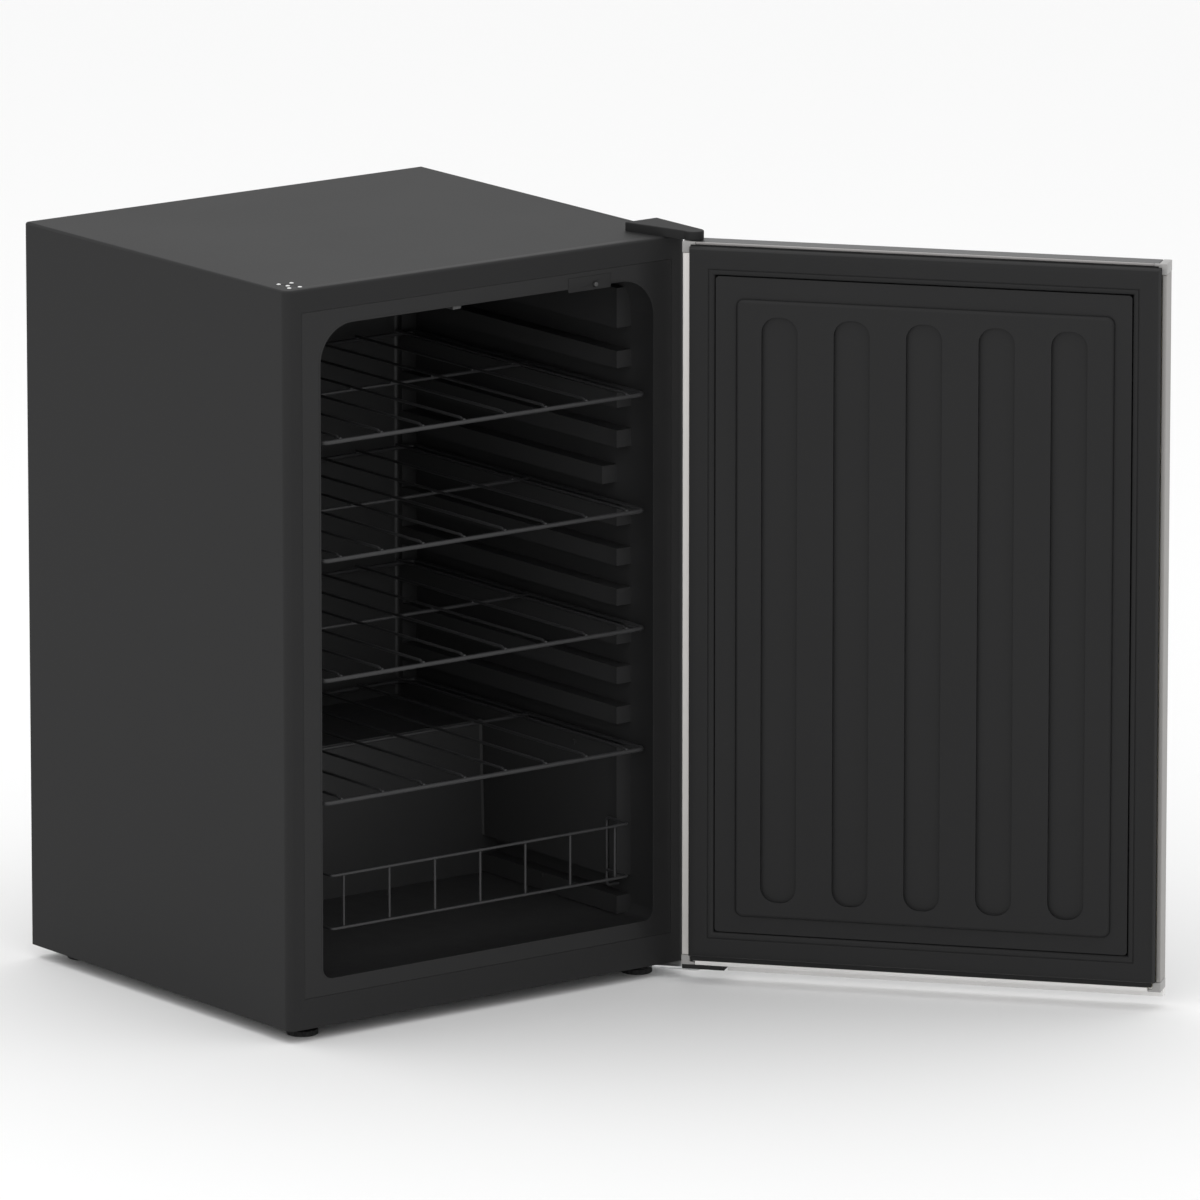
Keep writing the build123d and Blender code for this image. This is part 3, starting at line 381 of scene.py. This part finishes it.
shelf_coat = Finish("shelf_coat", Roughness=0.35, IOR=1.4)
drips = shelf_coat.noise(90, detail=3.0)
shelf_coat.set(Base_Color=shelf_coat.colour_mix(drips, (0.020, 0.020, 0.021), (0.028, 0.028, 0.029)),
               Roughness=0.30 + 0.18 * drips)
shelf_coat.bump(drips, 0.0003, 0.5)


def bent_wire(shape, corners, radius, bend, sides=12, turns=5):
    """A round wire along straight runs, turned through each corner by a spin."""
    points = [Vector(c) for c in corners]
    way = (points[1] - points[0]).normalized()
    turned = way.to_track_quat("Z", "Y").to_matrix().to_4x4()
    made = bmesh.ops.create_circle(shape, segments=sides, radius=radius, cap_ends=True,
                                   matrix=Matrix.Translation(points[0]) @ turned)
    cap = made["verts"][0].link_faces[0]
    ring = list(cap.edges)
    place = points[0]
    for i in range(1, len(points)):
        last = i == len(points) - 1
        onward = None if last else (points[i + 1] - points[i]).normalized()
        setback = 0 if last else bend * math.tan(way.angle(onward) / 2)
        stop = points[i] - way * setback
        grown = bmesh.ops.extrude_edge_only(shape, edges=ring)["geom"]
        bmesh.ops.translate(shape, vec=stop - place,
                            verts=[g for g in grown if isinstance(g, bmesh.types.BMVert)])
        ring = [g for g in grown if isinstance(g, bmesh.types.BMEdge)
                and all(v in grown for v in g.verts) and len(g.link_faces) == 1]
        place = stop
        if not last:
            axis = way.cross(onward).normalized()
            centre = stop + axis.cross(way) * bend
            bent = ring + list({v for e in ring for v in e.verts})
            turn = bmesh.ops.spin(shape, geom=bent, cent=centre, axis=axis, angle=way.angle(onward),
                                  steps=turns, use_duplicate=False)
            ring = [g for g in turn["geom_last"] if isinstance(g, bmesh.types.BMEdge)]
            place = points[i] + onward * setback
            way = onward
    bmesh.ops.edgeloop_fill(shape, edges=ring)


FRAME_R = 0.0025
STAY_R = 0.0020
CROSS_R = 0.0016
CROSS_PITCH = 0.0538
CROSS_COUNT = 8
WELD_R = 0.0023
SUNK = 0.0004   # how far the cross wires are pressed into the frame by the welds
for number in range(1, 5):
    node = f"wire_shelf_{number}"
    low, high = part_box(node)
    half = high.x - FRAME_R
    fore = low.y + FRAME_R
    rear = high.y - FRAME_R
    level = low.z + FRAME_R
    over = level + FRAME_R + CROSS_R - SUNK
    bm = bmesh.new()
    bent_wire(bm, [(0, fore, level), (half, fore, level), (half, rear, level), (-half, rear, level),
                   (-half, fore, level), (0, fore, level)], FRAME_R, 0.007, sides=14, turns=6)
    middle = (fore + rear) / 2 - 0.003
    bent_wire(bm, [(-half, middle, level), (half, middle, level)], STAY_R, 0.01)
    for k in range(CROSS_COUNT):
        x = (k - (CROSS_COUNT - 1) / 2) * CROSS_PITCH
        bent_wire(bm, [(x, fore + 0.0008, level + 0.0004), (x, fore + 0.0075, over),
                       (x, rear + 0.0015, over)], CROSS_R, 0.005, sides=10)
        # the welds leave a small flattened bead where the wires cross
        for y in (fore + 0.0016, middle, rear):
            bead = bmesh.ops.create_uvsphere(bm, u_segments=10, v_segments=6, radius=WELD_R)["verts"]
            bmesh.ops.scale(bm, vec=(1.0, 1.1, 0.75), verts=bead)
            bmesh.ops.translate(bm, vec=(x, y, level + 0.0022), verts=bead)
    bmesh.ops.recalc_face_normals(bm, faces=bm.faces)
    finish_piece(f"dipped_shelf_{number}", bm, shelf_coat, f"shelf_{number}", [node],
                 smooth=50)

# ------------------------------------------------------------------ bottle guard
# A low rail of the same coated wire keeps bottles from rolling out of the bottom. Its ends turn back
# along the side blocks and hook into the slot between the two lowest ribs.

GUARD_R = 0.0016
GUARD_HALF = 0.198
GUARD_RAIL_GAP = 0.058
GUARD_BEND = 0.005
GUARD_BARS = 7
GUARD_PITCH = 0.05985
BAR_R = 0.0014
BAR_BEHIND = 0.0018
BAR_PAST = 0.001
low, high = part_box("bottle_guard")
guard_y = low.y + GUARD_R
guard_x = GUARD_HALF - GUARD_R
guard_back = high.y - GUARD_R
guard_top = high.z - GUARD_R
guard_hook = low.z + GUARD_R
guard_low = guard_top - GUARD_RAIL_GAP
bm = bmesh.new()
for side in (-1, 1):
    bent_wire(bm, [(0, guard_y, guard_top), (side * guard_x, guard_y, guard_top),
                   (side * guard_x, guard_back, guard_top), (side * guard_x, guard_back, guard_hook),
                   (side * high.x, guard_back, guard_hook)], GUARD_R, GUARD_BEND, sides=10)
    bent_wire(bm, [(0, guard_y, guard_low), (side * guard_x, guard_y, guard_low),
                   (side * guard_x, guard_back, guard_low)], GUARD_R, GUARD_BEND, sides=10)
for k in range(GUARD_BARS):
    x = (k - (GUARD_BARS - 1) / 2) * GUARD_PITCH
    bent_wire(bm, [(x, guard_y + BAR_BEHIND, guard_low - BAR_PAST),
                   (x, guard_y + BAR_BEHIND, guard_top + BAR_PAST)], BAR_R, GUARD_BEND)
bmesh.ops.recalc_face_normals(bm, faces=bm.faces)
finish_piece("dipped_guard", bm, shelf_coat, "guard", ["bottle_guard"], smooth=50)

# ------------------------------------------------------------------ door frame of satin metal
# The door is edged with satin silver strips along both sides, a thin one along the top and a deeper
# one with a lower lip along the bottom. Grey plastic caps close the four corners. The strips are one
# satin silver, but each gets its own base colour as painted light and shade: the hinge-side strip and
# the bottom rail are painted lighter, the free-side strip and the top rail painted darker.

hinge = next(j for j in frame["joints"] if j["name"] == "door_hinge")
open_angle = math.radians(-hinge["range_deg"][0])
along = Vector((-math.cos(open_angle), -math.sin(open_angle), 0))
outward = Vector((math.sin(open_angle), -math.cos(open_angle), 0))
door_place = Matrix.Translation((hinge["pos_m"][0], hinge["pos_m"][1], 0)) @ Matrix(
    ((along.x, outward.x, 0), (along.y, outward.y, 0), (0, 0, 1))).to_4x4()
door_turn = math.atan2(along.y, along.x)


def door_box(node):
    """Lowest and highest corners of a door node, along the door, outwards from the hinge and upwards."""
    back = door_place.inverted()
    points = [back @ v.co for v in nodes[node].data.vertices]
    return (Vector(min(p[i] for p in points) for i in range(3)),
            Vector(max(p[i] for p in points) for i in range(3)))


def brushed(name, base, spread, rough, stretch):
    finish = Finish(name, Metallic=0.5, Roughness=rough)
    place = finish.node("ShaderNodeMapping", Vector=finish.object_place, Rotation=(0, 0, -door_turn))
    place = finish.node("ShaderNodeMapping", Vector=place, Scale=stretch)
    grain = finish.node("ShaderNodeTexNoise", Vector=place, Scale=900.0, Detail=4.0, Roughness=0.6)
    smear = finish.noise(14, detail=3.0)
    finish.set(Base_Color=finish.colour_mix(grain * 0.6 + smear * 0.4, tuple(c - spread for c in base),
                                            tuple(c + spread for c in base)),
               Roughness=rough - 0.06 + 0.12 * grain)
    finish.bump(grain, 0.00006, 0.4)
    return finish


UPRIGHT_GRAIN = (1.0, 1.0, 0.012)
LEVEL_GRAIN = (0.012, 1.0, 1.0)
# painted light and shade: lit and shaded copies of one satin silver, lighter on the hinge strip and
# bottom rail, darker on the free strip and top rail
painted_light_hinge_strip = brushed("painted_light_hinge_strip_metal", (0.64, 0.62, 0.60), 0.04, 0.5, UPRIGHT_GRAIN)
painted_shade_free_strip = brushed("painted_shade_free_strip_metal", (0.30, 0.29, 0.28), 0.03, 0.5, UPRIGHT_GRAIN)
painted_shade_top_rail = brushed("painted_shade_top_rail_metal", (0.30, 0.29, 0.285), 0.04, 0.45, LEVEL_GRAIN)
painted_light_bottom_rail = brushed("painted_light_bottom_rail_metal", (0.78, 0.77, 0.76), 0.04, 0.45, LEVEL_GRAIN)
for node, finish, edge in (("hinge_side_trim", painted_light_hinge_strip, 0.0008),
                           ("free_side_trim", painted_shade_free_strip, 0.0008),
                           ("top_trim", painted_shade_top_rail, 0.0005), ("bottom_trim", painted_light_bottom_rail, 0.0006)):
    bm = merged_copy(node)
    soften(bm, edge, 3)
    finish_piece("satin_" + node, bm, finish, "door", [node])

cap_plastic = Finish("cap_plastic", Roughness=0.4)
fleck = cap_plastic.noise(1300, detail=2.0)
cap_plastic.set(Base_Color=cap_plastic.colour_mix(fleck, (0.27, 0.265, 0.26), (0.33, 0.325, 0.32)),
                Roughness=0.34 + 0.12 * fleck)
cap_plastic.bump(fleck, 0.00006, 0.4)
for corner in ("top_hinge", "bottom_hinge", "top_free", "bottom_free"):
    node = f"corner_cap_{corner}"
    bm = merged_copy(node)
    soften(bm, 0.0009, 3)
    finish_piece("grey_" + node, bm, cap_plastic, "door", [node])

top_cap_plastic = Finish("top_cap_plastic", Roughness=0.45, IOR=1.4)
grit = top_cap_plastic.noise(1200, detail=2.0)
top_cap_plastic.set(Base_Color=top_cap_plastic.colour_mix(grit, (0.040, 0.040, 0.041),
                                                          (0.050, 0.050, 0.051)),
                    Roughness=0.36 + 0.14 * grit)
top_cap_plastic.bump(grit, 0.00008, 0.4)
bm = merged_copy("top_cap")
soften(bm, 0.0006, 2)
finish_piece("moulded_top_cap", bm, top_cap_plastic, "door", ["top_cap"])
for node in ("hinge_foot_plate", "top_hinge_bushing"):
    bm = merged_copy(node)
    soften(bm, 0.0006, 2)
    finish_piece("moulded_" + node, bm, dark_plastic, "door", [node])

# ------------------------------------------------------------------ door skin
# The outside of the door is one flat sheet of satin black painted steel held in the strips.

door_paint = Finish("door_paint", Roughness=0.4, IOR=1.35)
orange_peel = door_paint.noise(380, detail=2.0)
drift = door_paint.noise(4.0, detail=4.0)
door_paint.set(Base_Color=door_paint.colour_mix(drift, (0.0125, 0.0125, 0.0130),
                                                (0.0150, 0.0150, 0.0155)),
               Roughness=0.30 + 0.10 * drift)
door_paint.bump(orange_peel, 0.00008, 0.35)
bm = merged_copy("outer_panel")
soften(bm, 0.0004, 2)
finish_piece("door_skin", bm, door_paint, "door", ["outer_panel"])

# ------------------------------------------------------------------ door liner
# The inside of the door is vacuum formed: a raised panel with five tall hollows that stiffen it. The
# plastic is semi-gloss dark grey with a faint leather grain.

door_plastic = Finish("door_plastic", Roughness=0.5, IOR=1.3)
grain = door_plastic.noise(700, detail=3.0)
pull = door_plastic.noise(9, detail=3.0)
door_plastic.set(Base_Color=door_plastic.colour_mix(pull, (0.0105, 0.0105, 0.0108),
                                                    (0.0120, 0.0120, 0.0123)),
                 Roughness=0.46 + 0.10 * grain)
door_plastic.bump(grain, 0.00008, 0.3)
bm = merged_copy("door_liner")
soften(bm, 0.0014, 3, crisp_edges(bm, 40))
finish_piece("formed_door_liner", bm, door_plastic, "door", ["door_liner"])

# ------------------------------------------------------------------ door gasket
# A soft magnetic seal runs round the door in one frame with mitred corners. Its section has a rounded
# magnet pocket, a groove beside it and a low tongue that lies against the liner.

gasket_rubber = Finish("gasket_rubber", Roughness=0.62, IOR=1.3)
bloom = gasket_rubber.noise(50, detail=4.0)
gasket_rubber.set(Base_Color=gasket_rubber.colour_mix(bloom, (0.0118, 0.0118, 0.0121),
                                                      (0.0145, 0.0145, 0.0148)),
                  Roughness=0.58 + 0.15 * bloom)
gasket_rubber.bump(gasket_rubber.noise(1100, detail=2.0), 0.00008, 0.5)
low, high = door_box("door_gasket")
GASKET_BAND = 0.029
thick = high.y - low.y
# section: distance in from the outer edge, and height above the back, as shares of band and thickness
SECTION = ((0.0, 0.0), (0.0, 0.50), (0.015, 0.74), (0.06, 0.92), (0.14, 0.985), (0.28, 1.0),
           (0.50, 1.0), (0.68, 0.99), (0.74, 0.97), (0.755, 0.90), (0.775, 0.90), (0.79, 0.95),
           (0.86, 0.95), (0.94, 0.86), (0.985, 0.66), (1.0, 0.40), (1.0, 0.0))
bm = bmesh.new()


def section_point(corner, across_share, up_share):
    inset = across_share * GASKET_BAND
    at_u, at_z = corner
    u = low.x + inset if at_u < 0 else high.x - inset
    z = low.z + inset if at_z < 0 else high.z - inset
    return Vector((u, high.y - up_share * thick, z))


corners = ((-1, -1), (1, -1), (1, 1), (-1, 1))
loops = [[bm.verts.new(section_point(c, *p)) for p in SECTION] for c in corners]
strips = []
for loop in loops:
    strips.append([bm.edges.new((loop[i], loop[(i + 1) % len(loop)])) for i in range(len(loop))])
for k in range(4):
    bmesh.ops.bridge_loops(bm, edges=strips[k] + strips[(k + 1) % 4])
bmesh.ops.remove_doubles(bm, verts=bm.verts, dist=MERGE)
bmesh.ops.recalc_face_normals(bm, faces=bm.faces)
bmesh.ops.transform(bm, matrix=door_place, verts=bm.verts)
finish_piece("soft_gasket", bm, gasket_rubber, "door", ["door_gasket"], smooth=40)

# ------------------------------------------------------------------ hinges, screws and plated sheet
# The hinge plates, the compressor plate, the clips and the screws are zinc plated steel, which has a
# fine crystalline bloom.

zinc = Finish("zinc", Metallic=1.0, Roughness=0.35)
bloom = zinc.node("ShaderNodeTexVoronoi", Vector=zinc.object_place, Scale=160.0)
zinc.set(Base_Color=zinc.colour_mix(bloom, (0.50, 0.51, 0.52), (0.62, 0.63, 0.63)),
         Roughness=0.30 + 0.14 * bloom)
for node in ("top_hinge_bracket", "bottom_hinge_bracket", "compressor_plate", "mount_bolts",
             "top_hinge_screws", "bottom_hinge_screws", "condenser_brackets"):
    bm = merged_copy(node)
    soften(bm, 0.0003, 2)
    finish_piece("plated_" + node, bm, zinc, "cabinet", [node])

# ------------------------------------------------------------------ compressor and condenser
# The compressor is a welded steel can in black enamel on rubber mounts. The condenser is a steel tube
# that runs back and forth over the rear with thin upright wires welded to it, all enamelled black.

enamel = Finish("enamel", Roughness=0.3, Coat_Weight=0.4)
run = enamel.noise(35, detail=3.0)
enamel.set(Base_Color=enamel.colour_mix(run, (0.012, 0.012, 0.012), (0.020, 0.020, 0.020)),
           Roughness=0.25 + 0.15 * run)
enamel.bump(run, 0.0004, 0.3)
for node in ("compressor", "condenser_coil"):
    bm = merged_copy(node)
    finish_piece("enamelled_" + node, bm, enamel, "cabinet", [node], smooth=40)
paint("condenser_wires", enamel)
copper = Finish("copper", Metallic=1.0, Roughness=0.3)
tarnish = copper.noise(60, detail=5.0)
copper.set(Base_Color=copper.colour_mix(tarnish, (0.62, 0.30, 0.18), (0.80, 0.44, 0.28)),
           Roughness=0.24 + 0.2 * tarnish)
for node in ("discharge_tube", "filter_drier"):
    bm = merged_copy(node)
    finish_piece("drawn_" + node, bm, copper, "cabinet", [node], smooth=40)
mount_rubber = Finish("mount_rubber", Roughness=0.8)
mount_rubber.set(Base_Color=mount_rubber.colour_mix(mount_rubber.noise(200), (0.02, 0.02, 0.02),
                                                    (0.03, 0.03, 0.03)))
bm = merged_copy("rubber_mounts")
soften(bm, 0.0005, 2)
finish_piece("compressor_mounts", bm, mount_rubber, "cabinet", ["rubber_mounts"])
